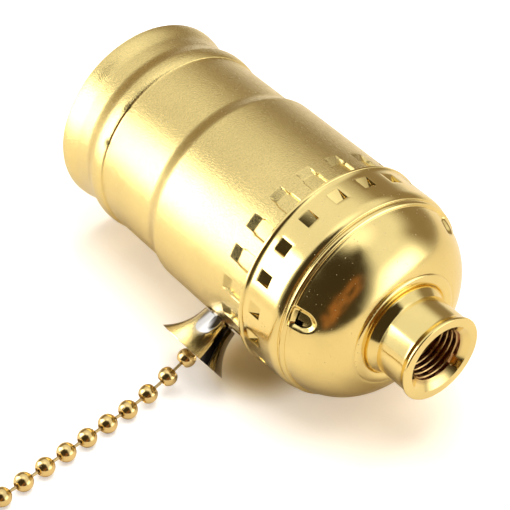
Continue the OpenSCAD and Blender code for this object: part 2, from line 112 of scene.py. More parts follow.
def smooth(x, low, high):
    """0 at low and 1 at high, with a soft start and end."""
    t = np.clip((x - low) / (high - low), 0, 1)
    return t * t * (3 - 2 * t)


def turn_gap(a, b):
    """The signed angle from b to a, between -180 and 180 degrees."""
    return (a - b + 180) % 360 - 180


def profile(*runs):
    """Runs of points joined into one outline, without doubles."""
    points = np.concatenate([np.atleast_2d(np.array(r, float)) for r in runs])
    keep = np.concatenate([[True], np.linalg.norm(np.diff(points, axis=0), axis=1) > 1e-3])
    return points[keep]


def spread(angles, least):
    """Sorted azimuths, each more than the least step from the one before."""
    found = []
    for a in sorted(x % 360 for x in angles):
        if not found or a - found[-1] > least:
            found.append(a)
    return np.array(found)


def outline_frame(points):
    """The outward normal and the direction of travel at each point of an outline."""
    t = np.gradient(points, axis=0)
    t /= np.linalg.norm(t, axis=1)[:, None]
    return np.stack([t[:, 1], -t[:, 0]], -1), t


def sheet(angles, outer, wall, dent=None, removed=None, slide=None, closed=True):
    """An outline of [radius, depth] swept round the axis as sheet metal of a given wall, with rounded edges.

    dent(phi, z) presses the sheet in, slide(phi, z) moves it along the depth and removed(phi, z) cuts it out.
    """
    n, t = outline_frame(outer)
    # Each layer gets a nose at both ends, a little past the outline, so that the cut edges are round.
    layers = []
    for inset in (0.0, wall):
        core = outer - n * inset
        nose = wall * (0.18 if inset == 0 else 0.82)
        start = outer[0] - n[0] * nose - t[0] * wall * 0.22
        end = outer[-1] - n[-1] * nose + t[-1] * wall * 0.22
        layers.append(np.concatenate([[start], core, [end]]))
    normals = np.concatenate([[n[0]], n, [n[-1]]])
    phi = np.asarray(angles, float)[:, None]
    verts = []
    for layer in layers:
        r, z = layer[:, 0][None, :], layer[:, 1][None, :]
        depth = layers[0][:, 1][None, :]
        pressed = dent(phi, depth) if dent else 0.0
        moved = slide(phi, depth) if slide else 0.0
        verts.append(around(z - pressed * normals[:, 1] + moved, r - pressed * normals[:, 0], phi))
    rows, cols = verts[0].shape[1], len(phi)
    every = cols * rows
    spans = cols if closed else cols - 1
    wrap = np.append(angles, angles[0] + 360) if closed else np.asarray(angles)
    mid_phi = (wrap[:-1] + wrap[1:])[:, None] / 2
    depth = layers[0][:, 1]
    mid_z = (depth[:-1] + depth[1:])[None, :] / 2
    kept = np.ones((spans, rows - 1), bool)
    if removed:
        kept &= ~removed(mid_phi, mid_z)
    faces = []
    for i in range(spans):
        k = (i + 1) % cols
        before = (i - 1) % spans if closed else i - 1
        after = (i + 1) % spans if closed else i + 1
        for j in range(rows - 1):
            if not kept[i, j]:
                continue
            a, b, c, d = i * rows + j, i * rows + j + 1, k * rows + j + 1, k * rows + j
            faces.append((a, b, c, d))
            faces.append((d + every, c + every, b + every, a + every))
            # A side without a neighbour is closed from the outer layer to the inner one.
            for u, v, gap in (
                (a, b, before < 0 or not kept[before, j]),
                (b, c, j == rows - 2 or not kept[i, j + 1]),
                (c, d, after >= spans or not kept[after, j]),
                (d, a, j == 0 or not kept[i, j - 1]),
            ):
                if gap:
                    faces.append((v, u, u + every, v + every))
    return np.concatenate([v.reshape(-1, 3) for v in verts]), faces


def turned(section, place, steps, carve=None):
    """A closed section of [radius, height] turned round the local +Z of place; carve(phi) moves the radii."""
    phi = np.linspace(0, 360, steps, endpoint=False)[:, None]
    r = np.repeat(section[:, 0][None, :], steps, 0)
    if carve is not None:
        r = r + carve(phi)
    a = np.radians(phi)
    z = np.repeat(section[:, 1][None, :], steps, 0)
    verts = np.stack([r * np.cos(a), r * np.sin(a), z], -1).reshape(-1, 3)
    m = len(section)
    faces = [
        (i * m + j, ((i + 1) % steps) * m + j, ((i + 1) % steps) * m + (j + 1) % m, i * m + (j + 1) % m)
        for i in range(steps)
        for j in range(m)
    ]
    world = np.array(place)
    return verts @ world[:3, :3].T * MM + world[:3, 3] * MM, faces


def add_object(name, data):
    """A new object in the scene."""
    obj = bpy.data.objects.new(name, data)
    bpy.context.scene.collection.objects.link(obj)
    return obj


def build(name, parts, body, node, slot, sharp=32, attributes=None):
    """Joins the parts into one smooth-shaded piece that rides on a body and stands for a CAD node.

    attributes maps a name to a rule(azimuth, depth, radius) that gives the piece's value at each vertex.
    """
    verts, faces, base = [], [], 0
    for v, f in parts:
        verts.append(v)
        faces += [tuple(i + base for i in face) for face in f]
        base += len(v)
    verts = np.concatenate(verts)
    mesh = bpy.data.meshes.new(name)
    mesh.from_pydata(verts.tolist(), [], faces)
    work = bmesh.new()
    work.from_mesh(mesh)
    bmesh.ops.recalc_face_normals(work, faces=work.faces)
    loose = [v for v in work.verts if not v.link_faces]
    bmesh.ops.delete(work, geom=loose, context="VERTS")
    work.to_mesh(mesh)
    work.free()
    mesh.polygons.foreach_set("use_smooth", [True] * len(mesh.polygons))
    mesh.set_sharp_from_angle(angle=math.radians(sharp))
    if attributes:
        co = np.zeros(len(mesh.vertices) * 3)
        mesh.vertices.foreach_get("co", co)
        co = co.reshape(-1, 3) / MM
        depth = -co[:, 0]
        azimuth = np.degrees(np.arctan2(-co[:, 1], co[:, 2]))
        radius = np.hypot(co[:, 1], co[:, 2])
        for key, rule in attributes.items():
            layer = mesh.attributes.new(key, "FLOAT", "POINT")
            layer.data.foreach_set("value", rule(azimuth, depth, radius).astype(np.float32))
    mesh.materials.append(mats[slot])
    obj = add_object(name, mesh)
    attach(obj, body)
    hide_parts(node)


# ---------------------------------------------------------------- material helpers


class Nodes:
    """A small wrapper that builds and joins shader nodes."""

    def __init__(self, tree):
        self.tree = tree
        tree.nodes.clear()

    def add(self, kind, inputs=None, **settings):
        """A node with its settings, and with each input joined to a socket or set to a value."""
        node = self.tree.nodes.new(kind)
        for key, value in settings.items():
            setattr(node, key, value)
        for key, value in (inputs or {}).items():
            if isinstance(value, bpy.types.NodeSocket):
                self.tree.links.new(value, node.inputs[key])
            else:
                node.inputs[key].default_value = value
        return node

    def math(self, operation, *values):
        return self.add("ShaderNodeMath", dict(enumerate(values)), operation=operation).outputs[0]

    def ramp(self, value, low, high, to_low=0.0, to_high=1.0):
        """A soft ramp from to_low at low to to_high at high."""
        node = self.add(
            "ShaderNodeMapRange",
            {"Value": value, "From Min": low, "From Max": high, "To Min": to_low, "To Max": to_high},
            interpolation_type="SMOOTHSTEP",
        )
        return node.outputs["Result"]

    def mix(self, share, a, b):
        """The colour a where share is 0 and b where it is 1. Sockets 0, 6, 7 and 2 are the colour ones."""
        return self.add("ShaderNodeMix", {0: share, 6: a, 7: b}, data_type="RGBA").outputs[2]

    def noise(self, vector, scale, detail, roughness=0.5):
        node = self.add(
            "ShaderNodeTexNoise",
            {"Vector": vector, "Scale": scale, "Detail": detail, "Roughness": roughness},
        )
        return node.outputs[0]


def rgba(color, gain=1.0):
    """A colour with alpha, made lighter or darker by gain."""
    return tuple(min(1.0, c * gain) for c in color) + (1.0,)


def new_material(name):
    """A material and the wrapper of its empty node tree."""
    material = bpy.data.materials.new(name)
    material.use_nodes = True
    return material, Nodes(material.node_tree)


# The material of each slot
mats = {}
DUST = (0.80, 0.74, 0.62, 1)
BORE_BROWN = (0.30, 0.11, 0.045, 1)


def metal(name, color, rough, grain, bump, specks=0.0, lines=0.0, smudges=0.45, painted_dark=None, tint=None):
    """Polished or satin metal with colour drift, smudges, fine grain, turning lines and dust specks.

    The last two arguments name the attributes that mark painted dark reflection and shade, and a darker
    reddish-brown tint.
    """
    material, n = new_material(name)
    where = n.add("ShaderNodeTexCoord").outputs["Object"]
    broad = n.noise(where, 90.0, 3.0)
    smudge = n.noise(where, 420.0, 4.0, 0.6)
    fine = n.noise(where, 4500.0, 2.0, 0.7)
    base = n.mix(n.ramp(broad, 0.35, 0.65), rgba(color, 0.95), rgba(color, 1.03))
    base = n.mix(n.math("MULTIPLY", n.ramp(fine, 0.4, 0.7), grain), base, rgba(color, 0.62))
    roughness = n.math("ADD", n.ramp(smudge, 0.4, 0.72, 0.0, rough * smudges), rough)
    roughness = n.math("ADD", roughness, n.math("MULTIPLY", n.ramp(fine, 0.35, 0.65), grain * 0.12))
    height = n.math("MULTIPLY", fine, 1.0 + 5.0 * grain)
    if lines:
        stretched = n.add("ShaderNodeMapping", {"Vector": where, "Scale": (1.0, 0.015, 0.015)}).outputs[0]
        turning = n.noise(stretched, 5200.0, 3.0, 0.6)
        height = n.math("ADD", height, n.math("MULTIPLY", turning, lines))
        roughness = n.math("ADD", roughness, n.math("MULTIPLY", n.ramp(turning, 0.4, 0.7), 0.03 * lines))
    if specks:
        dots = n.add("ShaderNodeTexVoronoi", {"Vector": where, "Scale": 1700.0, "Randomness": 1.0})
        chance = n.add("ShaderNodeSeparateColor", {"Color": dots.outputs["Color"]}).outputs[0]
        spot = n.math("MULTIPLY", n.ramp(dots.outputs["Distance"], 0.2, 0.08), n.ramp(chance, 0.70, 0.76))
        spot = n.math("MULTIPLY", spot, specks)
        base = n.mix(n.math("MULTIPLY", spot, 0.4), base, DUST)
        roughness = n.math("ADD", roughness, n.math("MULTIPLY", spot, 0.6))
    # Painted dark reflection and painted shade: the base colour darkens where the attribute says, broken up
    # by noise, with a little bump.
    if painted_dark:
        mark = n.add("ShaderNodeAttribute", attribute_name=painted_dark).outputs["Fac"]
        coarse = n.ramp(n.noise(where, 5200.0, 1.0, 0.6), 0.42, 0.58)
        base = n.mix(n.math("MULTIPLY", mark, n.ramp(coarse, 0.0, 1.0, 0.7, 0.97)), base, rgba(color, 0.10))
        height = n.math("ADD", height, n.math("MULTIPLY", n.math("MULTIPLY", mark, coarse), 0.8))
    # A darker reddish-brown tint where the attribute says, a little rougher.
    if tint:
        mark = n.add("ShaderNodeAttribute", attribute_name=tint).outputs["Fac"]
        base = n.mix(mark, base, BORE_BROWN)
        roughness = n.math("ADD", roughness, n.math("MULTIPLY", mark, 0.12))
    roughness = n.math("MINIMUM", roughness, 0.9)
    raised = n.add("ShaderNodeBump", {"Height": height, "Strength": bump, "Distance": 0.02 * MM})
    surface = n.add(
        "ShaderNodeBsdfPrincipled",
        {"Base Color": base, "Metallic": 1.0, "Roughness": roughness, "Normal": raised.outputs[0]},
    )
    n.add("ShaderNodeOutputMaterial", {"Surface": surface.outputs[0]})
    material.diffuse_color = rgba(color)
    mats[name] = material


def moulded(name, color, rough, fleck, bump=0.15, fibres=False):
    """Moulded or pressed material with mottled colour, flecks, worn gloss and a fine pitted skin."""
    material, n = new_material(name)
    where = n.add("ShaderNodeTexCoord").outputs["Object"]
    if fibres:
        where = n.add("ShaderNodeMapping", {"Vector": where, "Scale": (0.25, 1.0, 1.0)}).outputs[0]
    mottle = n.noise(where, 270.0, 4.0, 0.6)
    fine = n.noise(where, 2700.0, 3.0, 0.7)
    base = n.mix(n.ramp(mottle, 0.35, 0.7), rgba(color, 0.82), rgba(color, 1.12))
    base = n.mix(n.math("MULTIPLY", n.ramp(fine, 0.55, 0.75), 0.6), base, fleck + (1.0,))
    roughness = n.ramp(mottle, 0.3, 0.7, rough * 0.85, min(1.0, rough * 1.25))
    raised = n.add("ShaderNodeBump", {"Height": fine, "Strength": bump, "Distance": 0.04 * MM})
    surface = n.add(
        "ShaderNodeBsdfPrincipled",
        {"Base Color": base, "Roughness": roughness, "Normal": raised.outputs[0]},
    )
    n.add("ShaderNodeOutputMaterial", {"Surface": surface.outputs[0]})
    material.diffuse_color = rgba(color)
    mats[name] = material


# ---------------------------------------------------------------- materials

GOLD, SATIN, BRASS = (0.91, 0.715, 0.285), (0.90, 0.71, 0.29), (0.80, 0.58, 0.24)

metal("cap_gold", GOLD, 0.13, grain=0.10, bump=0.10, specks=0.8)
metal("neck_gold", GOLD, 0.10, grain=0.06, bump=0.10, lines=0.5, tint="bore_tint")
# The barrel's pressed attribute holds painted dark reflection and painted shade.
metal("barrel_gold", SATIN, 0.21, grain=0.35, bump=1.0, specks=0.3, smudges=0.1, painted_dark="pressed")
metal("guide_nickel", (0.80, 0.77, 0.72), 0.035, grain=0.02, bump=0.03, specks=0.3)
metal("chain_brass", (0.82, 0.60, 0.25), 0.14, grain=0.10, bump=0.12, specks=0.6)
metal("link_brass", (0.55, 0.40, 0.18), 0.25, grain=0.25, bump=0.2)
metal("contact_brass", BRASS, 0.22, grain=0.2, bump=0.2, lines=0.8)
metal("screw_shell_brass", (0.85, 0.66, 0.32), 0.2, grain=0.15, bump=0.15, lines=0.6)
metal("rivet_brass", (0.74, 0.54, 0.24), 0.27, grain=0.25, bump=0.3, specks=0.5)
metal("steel_zinc", (0.62, 0.64, 0.67), 0.27, grain=0.3, bump=0.25, lines=0.6)
metal("spring_steel", (0.38, 0.39, 0.41), 0.3, grain=0.2, bump=0.3)
moulded("phenolic", (0.035, 0.028, 0.026), 0.32, (0.09, 0.07, 0.06))
moulded("rotor_phenolic", (0.20, 0.085, 0.045), 0.4, (0.34, 0.17, 0.09))
moulded("fibre", (0.66, 0.51, 0.33), 0.75, (0.45, 0.32, 0.19), bump=0.4, fibres=True)

for part in frame["record"]["subparts"]:
    node = frame["nodes"][part["node"]]
    node.data.materials.clear()
    node.data.materials.append(mats[part["material_slot"]])

# ---------------------------------------------------------------- cap

CAP_WALL = 0.4
SKIRT_R = 18.35
DOME_CENTRE, DOME_R = (7.10, 18.377), 10.4
WINDOW_START, WINDOW_END, WINDOW_HALF_WIDTH = 21.6, 24.0, 1.1
cap_outer = profile(
    line((6.8, 8.62), (7.95, 8.62), 0.3),
    arc((9.0, 8.62), (1.0, 0.52), -168, -14, 16),
    arc(DOME_CENTRE, (DOME_R, DOME_R), -72.3, -14.6, 56),
    arc((17.36, 15.98), (0.16, 0.2), 150, 60, 4),
    arc((17.5, 16.72), (0.38, 0.46), -80, 55, 10),
    arc((17.74, 17.22), (0.1, 0.14), 200, 100, 3),
    arc((17.72, 18.9), (0.63, 1.55), -88, 0, 16),
    line((SKIRT_R, 19.1), (SKIRT_R, WINDOW_START), 0.25),
    line((SKIRT_R, WINDOW_START), (SKIRT_R, WINDOW_END), 0.2),
    line((SKIRT_R, WINDOW_END), (SKIRT_R, 24.7), 0.2),
    arc((18.65, 24.75), (0.3, 0.9), 175, 95, 8),
    line((18.64, 25.75), (18.65, 26.0), 0.12),
)

window_angle = math.degrees(math.asin(WINDOW_HALF_WIDTH / SKIRT_R))
window_steps = [8, 6.6, 5.2, 4.3, 3.9, window_angle, 2.8, 1.9, 0.95, 0]


def at_every_snap(steps):
    """Azimuths at the given steps to both sides of each snap."""
    return [middle + side * step for middle in SNAP_MIDDLES for step in steps for side in (-1, 1)]


snap_angles = at_every_snap(window_steps)
lance_angles = [a + step for a in LANCE_AZIMUTHS for step in np.arange(-8.4, 8.41, 0.3)]


def snap_offset(phi):
    """The angle from the nearest snap."""
    gap = turn_gap(phi, SNAP_AZIMUTH)
    return gap - SNAP_TURN * np.round(gap / SNAP_TURN)


STEP_DEPTH, STEP_R = 15.9, 16.6
DOME_SLOPE = 0.86
LANCE_DEEP, LANCE_HALF_WIDTH, LANCE_STRAIGHT, LANCE_NOSE = 0.68, 1.9, 1.9, 2.3


def lance_local(phi, z):
    """Sideways and forward distance from the nearest lance's root at the step."""
    gaps = np.stack([turn_gap(phi, a) for a in LANCE_AZIMUTHS])
    gap = np.take_along_axis(gaps, np.abs(gaps).argmin(0)[None], 0)[0]
    return np.radians(gap) * STEP_R, (STEP_DEPTH - z) / DOME_SLOPE


def lance_press(phi, z):
    """Depth of the pressed lances, which start at the step and end in a round nose."""
    u, v = lance_local(phi, z)
    reach = np.hypot(u / LANCE_HALF_WIDTH, np.maximum(v - LANCE_STRAIGHT, 0) / LANCE_NOSE)
    return LANCE_DEEP * (1 - smooth(reach, 0.55, 1.0)) * smooth(v, -0.6, 0.1)


def cap_dent(phi, z):
    """The lances, and the soft edges that the punch leaves round the windows."""
    phi, z = np.broadcast_arrays(phi, z)
    x = np.radians(snap_offset(phi)) * SKIRT_R
    edge = np.maximum(np.abs(x) - WINDOW_HALF_WIDTH, np.maximum(WINDOW_START - z, z - WINDOW_END))
    soft = 0.05 * np.exp(-((edge / 0.22) ** 2)) * (z > 20.5)
    return lance_press(phi, z) + soft


def lance_slit(phi, z, spare=0.0):
    """The L-shaped cut that each lance leaves in the sheet."""
    u, v = lance_local(phi, z)
    side_cut = (u > 0.35 - spare) & (u < 1.3 + spare) & (v > 0.1 - spare) & (v < 1.75 + spare)
    end_cut = (u > -1.15 - spare) & (u < 0.5 + spare) & (v > 0.1 - spare) & (v < 0.5 + spare)
    return side_cut | end_cut


def cap_removed(phi, z):
    phi, z = np.broadcast_arrays(phi, z)
    window = (np.abs(snap_offset(phi)) < window_angle) & (z > WINDOW_START) & (z < WINDOW_END)
    return lance_slit(phi, z) | window


cap_parts = [sheet(spread(snap_angles + lance_angles, 0.14), cap_outer, CAP_WALL, cap_dent, cap_removed)]

# In each window a tab is left, bent inwards from its root at the far side.
TAB_ROOT, TAB_TIP, TAB_BEND = 24.1, 21.85, 1.0
for middle in SNAP_MIDDLES:
    depth = np.linspace(TAB_ROOT, TAB_TIP, 10)
    bend = TAB_BEND * ((TAB_ROOT - depth) / (TAB_ROOT - TAB_TIP)) ** 1.04
    strip = np.stack([SKIRT_R - 0.02 - bend, depth], -1)[::-1]
    tab_angles = middle + np.linspace(-1, 1, 7) * (window_angle - 0.2)
    cap_parts.append(sheet(tab_angles, strip, CAP_WALL, closed=False))
build("cap_spinning", cap_parts, "housing", "cap", "cap_gold")

# The fibre liner follows the dome and gives way to the lances.
LINER_INSET, LINER_WALL, LINER_R = 0.65, 0.3, 16.54
liner_outer = profile(
    line((9.4, 9.38), (10.8, 9.38), 0.35),
    arc(DOME_CENTRE, (DOME_R - LINER_INSET, DOME_R - LINER_INSET), -67.3, -14.6, 50),
    line((LINER_R, 16.1), (LINER_R, 22.0), 0.5),
)


def liner_dent(phi, z):
    phi, z = np.broadcast_arrays(phi, z)
    return np.maximum(lance_press(phi, z) - 0.15, 0)


def liner_removed(phi, z):
    phi, z = np.broadcast_arrays(phi, z)
    return lance_slit(phi, z, 0.35)


liner_angles = spread(list(np.arange(0, 360, 4.0)) + lance_angles, 0.2)
liner = sheet(liner_angles, liner_outer, LINER_WALL, liner_dent, liner_removed)
build("liner_forming", [liner], "housing", "cap_insulator", "fibre")

# ---------------------------------------------------------------- neck

THREAD_PITCH, THREAD_CREST_R, THREAD_GROOVE = 1.0, 4.5, 0.52
NOTCH_AZIMUTH, NOTCH_DEEP = 132.0, 1.5
neck_outer = profile(
    line((5.92, 0.0), (7.2, 0.0), 0.4),
    arc((7.25, 0.22), (0.22, 0.22), -80, 0, 6),
    line((7.46, 0.4), (7.17, 1.2), 0.2),
    line((7.15, 1.4), (7.15, 6.2), 0.35),
    arc((7.45, 6.5), (0.3, 0.4), 180, 148, 4),
    line((7.25, 6.85), (7.85, 7.9), 0.2),
    line((7.9, 8.1), (7.92, 8.6), 0.15),
    line((6.7, 8.6), (6.7, 9.8), 0.4),
    line((7.65, 9.8), (7.6, 10.1), 0.3),
    line((7.35, 11.0), (4.9, 11.0), 0.5),
)
bore = line((THREAD_CREST_R, 10.95), (THREAD_CREST_R, 0.02), 0.078)
neck_section = np.concatenate([neck_outer, bore])
bore_from = len(neck_outer)

# Lays a turned section's height along the depth. The azimuth then runs the other way round.
SOCKET = Matrix(((0, 0, -1, 0), (0, 1, 0, 0), (1, 0, 0, 0), (0, 0, 0, 1)))


def neck_thread(phi):
    """The M10 groove in the bore, its chamfered mouth and one notch in the mouth's edge."""
    z = bore[:, 1][None, :]
    wave = np.abs(((z - THREAD_PITCH * phi / 360) / THREAD_PITCH) % 1 * 2 - 1)
    groove = THREAD_GROOVE * smooth(wave, 0.1, 0.92) * smooth(z, 0.45, 0.95) * smooth(z, 11.0, 10.5)
    mouth = np.clip(1.42 - 1.25 * z, 0, None)
    notch = NOTCH_DEEP * smooth(np.abs(turn_gap(phi, NOTCH_AZIMUTH)), 8.5, 6.5) * smooth(z, 1.7, 1.3)
    carved = np.zeros((len(phi), len(neck_section)))
    carved[:, bore_from:] = np.maximum(np.maximum(groove, mouth), notch)
    return carved


def in_the_bore(azimuth, depth, radius):
    """A darker reddish-brown tint inside the thread, strongest in the grooves and weakest on the crests."""
    return smooth(radius, 5.3, 5.0) * smooth(depth, 0.5, 1.4) * (0.55 + 0.45 * smooth(radius, 4.55, 4.85))


neck = turned(neck_section, SOCKET, 224, neck_thread)
build("neck_turning", [neck], "housing", "neck_bushing", "neck_gold", attributes={"bore_tint": in_the_bore})

# ---------------------------------------------------------------- barrel

BARREL_R, WAIST_R, BARREL_WALL = 17.85, 16.95, 0.42
barrel_outer = profile(
    line((17.8, 19.7), (BARREL_R, 19.9), 0.1),
    line((BARREL_R, 20.1), (BARREL_R, 24.6), 0.45),
    line((BARREL_R, 24.9), (BARREL_R, 32.0), 0.14),
    line((BARREL_R, 32.4), (BARREL_R, 39.8), 0.4),
    line((BARREL_R, 41.0), (BARREL_R, 48.6), 1.1),
    ease((BARREL_R, 49.0), (WAIST_R, 52.4)),
    line((WAIST_R, 53.2), (WAIST_R, 64.6), 0.9),
    [(WAIST_R, 64.95), (16.97, 65.05), (17.04, 65.1), (17.14, 65.18), (17.22, 65.32)],
    [(17.45 - 0.23 * (1 - t) ** 2.4, 65.32 + 1.6 * t) for t in np.linspace(0.08, 1, 12)],
    ease((17.45, 67.2), (16.62, 70.5)),
    line((16.62, 70.8), (16.66, 72.4), 0.4),
    ease((16.67, 72.6), (17.3, 76.2)),
    line((17.31, 76.28), (17.32, 76.36), 0.08),
)
SLOT_HALF, SLOT_R = 2.45, 17.7
SLOT_FADE = 5.0
FLUTE_PRESS, FLUTE_DEEP, FLUTE_END, FLUTE_RAMP = 0.46, 0.95, 31.3, 1.6
slot_angle = math.degrees(math.asin(SLOT_HALF / SLOT_R))
flute_steps = [8, 6.9, 5.8, 5.1, 4.7, 4.45, 4.2, 4.0, 3.8, 3.55, 2.6, 1.7, 0.85, 0]
barrel_angles = [a for a in at_every_snap(flute_steps) if abs(turn_gap(a, GUIDE_AZIMUTH)) > slot_angle + 0.15]
barrel_angles += [GUIDE_AZIMUTH + step for step in np.linspace(-slot_angle, slot_angle, 25)]


def flute(phi, z):
    """Depth of the pressed flutes, which end in a ramp, and a mark of 1 on that ramp."""
    x = np.abs(np.radians(snap_offset(phi)) * BARREL_R)
    ramp = np.clip((FLUTE_END - z) / FLUTE_RAMP, 0, 1)
    half = 1.12 + 0.2 * smooth(z, 29.6, 28.8)
    side = 1 - smooth(x, half, half + 0.2)
    deep = FLUTE_PRESS + (FLUTE_DEEP - FLUTE_PRESS) * smooth(z, 27.2, 25.2)
    return deep * ramp * side, side * smooth(ramp, 0.02, 0.12) * smooth(ramp, 1.0, 0.88)


def barrel_painted_dark(azimuth, depth, radius):
    """Painted dark reflection on the flutes' ends, darkest towards the camera, and painted shade as two dark
    smudges in the bead's crease.
    """
    dark_share = flute(azimuth, depth)[1]
    dark_share = dark_share * (0.25 + 0.75 * smooth(azimuth, 30, 38) * smooth(azimuth, 74, 66))
    for spot, size in ((39.5, 3.2), (62.0, 2.4)):
        smudge = 1.3 * np.exp(-(((azimuth - spot) / size) ** 2) - ((depth - 65.4) / 0.5) ** 2)
        dark_share = np.maximum(dark_share, np.minimum(smudge, 1))
    return dark_share


def barrel_dent(phi, z):
    phi, z = np.broadcast_arrays(phi, z)
    return flute(phi, z)[0]


def barrel_slide(phi, z):
    """Moves the sheet past the slot along the depth, so that the slot gets a round end."""
    phi, z = np.broadcast_arrays(phi, z)
    gap = turn_gap(phi, GUIDE_AZIMUTH)
    y = SLOT_R * np.sin(np.radians(gap))
    rise = np.sqrt(np.maximum(SLOT_HALF**2 - y**2, 0)) * (np.abs(gap) < 90)
    return rise * np.clip(1 - (z - GUIDE_DEPTH) / SLOT_FADE, 0, 1)


def barrel_removed(phi, z):
    phi, z = np.broadcast_arrays(phi, z)
    return (np.abs(turn_gap(phi, GUIDE_AZIMUTH)) < slot_angle) & (z < GUIDE_DEPTH)


barrel_angles = spread(barrel_angles, 0.1)
barrel = sheet(barrel_angles, barrel_outer, BARREL_WALL, barrel_dent, barrel_removed, barrel_slide)
# The pressed attribute holds painted dark reflection on the flutes' ends and painted shade in the bead's
# crease.
painted_dark_rule = {"pressed": barrel_painted_dark}
build("barrel_drawing", [barrel], "barrel", "barrel_shell", "barrel_gold", attributes=painted_dark_rule)

# ---------------------------------------------------------------- E27 screw shell with a rolled thread

SCREW_PITCH, SCREW_R, SCREW_WALL = 3.62, 13.66, 0.33
shell_outer = profile(
    line((6.3, 48.0), (12.3, 48.0), 0.8),
    arc((12.2, 49.0), (0.9, 1.0), -80, -12, 8),
    line((13.2, 49.5), (13.62, 52.0), 0.3),
    line((SCREW_R, 52.3), (SCREW_R, 69.3), 0.2),
)


def screw_wave(phi, z):
    """The rolled E27 thread, as a press depth."""
    phi, z = np.broadcast_arrays(phi, z)
    wave = 0.5 + 0.5 * np.cos(2 * np.pi * (z - SCREW_PITCH * phi / 360) / SCREW_PITCH)
    return wave * smooth(z, 52.6, 54.2) * smooth(z, 69.2, 68.0)


shell = sheet(np.arange(0, 360, 2.5), shell_outer, SCREW_WALL, screw_wave)
build("screw_shell_rolling", [shell], "housing", "screw_shell", "screw_shell_brass")

# ---------------------------------------------------------------- chain guide

GUIDE_BORE, GUIDE_WALL = 1.75, 0.3
STEM_R, STEM_PITCH, STEM_GROOVE = 2.3, 0.7, 0.14


def square_to(middle, x, y, z):
    """A placement with its origin at middle and its axes along x, y and z."""
    return Matrix.Translation(Vector(middle)) @ Matrix((x, y, z)).transposed().to_4x4()


guide_way = Vector(around(0.0, 1.0, GUIDE_AZIMUTH)).normalized()
along = Vector((1, 0, 0))
GUIDE = square_to((-GUIDE_DEPTH, 0, 0), along, along.cross(guide_way), guide_way)
t = np.linspace(0, 1, 40)
bell_out = np.stack([3.2 + 3.25 * (0.25 * t + 0.75 * t**2.6), 18.0 + 6.7 * t], -1)
bell_in = np.stack([np.maximum(bell_out[:, 0] - GUIDE_WALL, GUIDE_BORE), bell_out[:, 1] + 0.02], -1)[::-1]
stem_thread = line((STEM_R, 12.8), (STEM_R, 17.2), 0.11)
stem_thread[:, 0] -= STEM_GROOVE * (0.5 + 0.5 * np.cos(2 * np.pi * stem_thread[:, 1] / STEM_PITCH))
bell_section = profile(
    line((GUIDE_BORE, 12.75), (2.1, 12.7), 0.2),
    stem_thread,
    line((STEM_R, 17.5), (STEM_R, 17.96), 0.2),
    line((2.4, 17.96), (3.05, 17.96), 0.3),
    bell_out,
    arc((6.36, 24.66), (0.1, 0.08), 0, 120, 4),
    bell_in[1:-1],
    line((GUIDE_BORE, 18.6), (GUIDE_BORE, 13.0), 0.6),
)
trumpet = turned(bell_section, GUIDE, 160)
build("guide_trumpet", [trumpet], "housing", "chain_guide", "guide_nickel", sharp=40)

# ---------------------------------------------------------------- ball chain

# The beads that ride round the guide's bend have wider holes, and their links wider flanges, so that the
# links can turn in them. The middles of a bead's own links lie within LINK_REACH of its middle.
BEAD_R, BEAD_WALL = 1.595, 0.25
HOLE_R, GUIDE_HOLE_R = 0.62, 0.9
FLANGE_R, GUIDE_FLANGE_R = 0.74, 1.02
PIN_R, LINK_HALF = 0.26, 1.79
LINK_REACH = 2.6


def islands(node):
    """The separate solids of a CAD node, each as an array of points in mm."""
    work = bmesh.new()
    work.from_mesh(frame["nodes"][node].data)
    bmesh.ops.remove_doubles(work, verts=work.verts, dist=1e-6)
    seen, found = set(), []
    for start in work.verts:
        if start in seen:
            continue
        stack, group = [start], []
        seen.add(start)
        while stack:
            v = stack.pop()
            group.append(v.co[:])
            for e in v.link_edges:
                other = e.other_vert(v)
                if other not in seen:
                    seen.add(other)
                    stack.append(other)
        found.append(np.array(group) / MM)
    work.free()
    return found


def link_of(points):
    """The middle and the long axis of one link."""
    middle = (points.min(0) + points.max(0)) / 2
    far = points[np.linalg.norm(points - middle, axis=1).argmax()] - middle
    axis = np.linalg.svd(points - points.mean(0), full_matrices=False)[2][0]
    return middle, axis * np.sign(axis @ far)


bead_nodes = [n for n in frame["nodes"] if "bead" in n]
link_nodes = [n for n in frame["nodes"] if "link" in n]
links = {n: [link_of(p) for p in islands(n)] for n in link_nodes}
all_links = [link for group in links.values() for link in group]


def on_axis(middle, axis, roll=0.0):
    """A placement with its origin at middle and its +Z along axis."""
    z = Vector(axis).normalized()
    x = z.orthogonal().normalized()
    return square_to(middle, x, z.cross(x), z) @ Matrix.Rotation(roll, 4, "Z")


def bead_section(hole):
    """A hollow bead with a rolled lip round each hole."""
    lip = math.degrees(math.asin(hole / BEAD_R))
    outside = arc((0, 0), (BEAD_R, BEAD_R), -90 + lip + 5, 90 - lip - 5, 40)
    inside = arc((0, 0), (BEAD_R - BEAD_WALL, BEAD_R - BEAD_WALL), 90 - lip - 4, -90 + lip + 4, 16)
    rise = math.sqrt(BEAD_R**2 - (hole + 0.08) ** 2)
    lip_edge = ((0.08, 0), (0.035, 0.03), (0.01, 0.09), (0.02, 0.21))
    top = [(hole + out, rise - down) for out, down in lip_edge]
    bottom = [(r, -z) for r, z in reversed(top)]
    return profile(outside, top, inside, bottom)


def bead_seam(shape):
    """The butt seam of the rolled bead, as a rule for turned()."""
    skin = np.hypot(shape[:, 0], shape[:, 1]) > BEAD_R - 0.05

    def carve(phi):
        gap = np.abs(turn_gap(phi, 30.0)) / 360 * 2 * math.pi * BEAD_R
        return -0.05 * np.exp(-((gap / 0.07) ** 2)) * skin[None, :]

    return carve


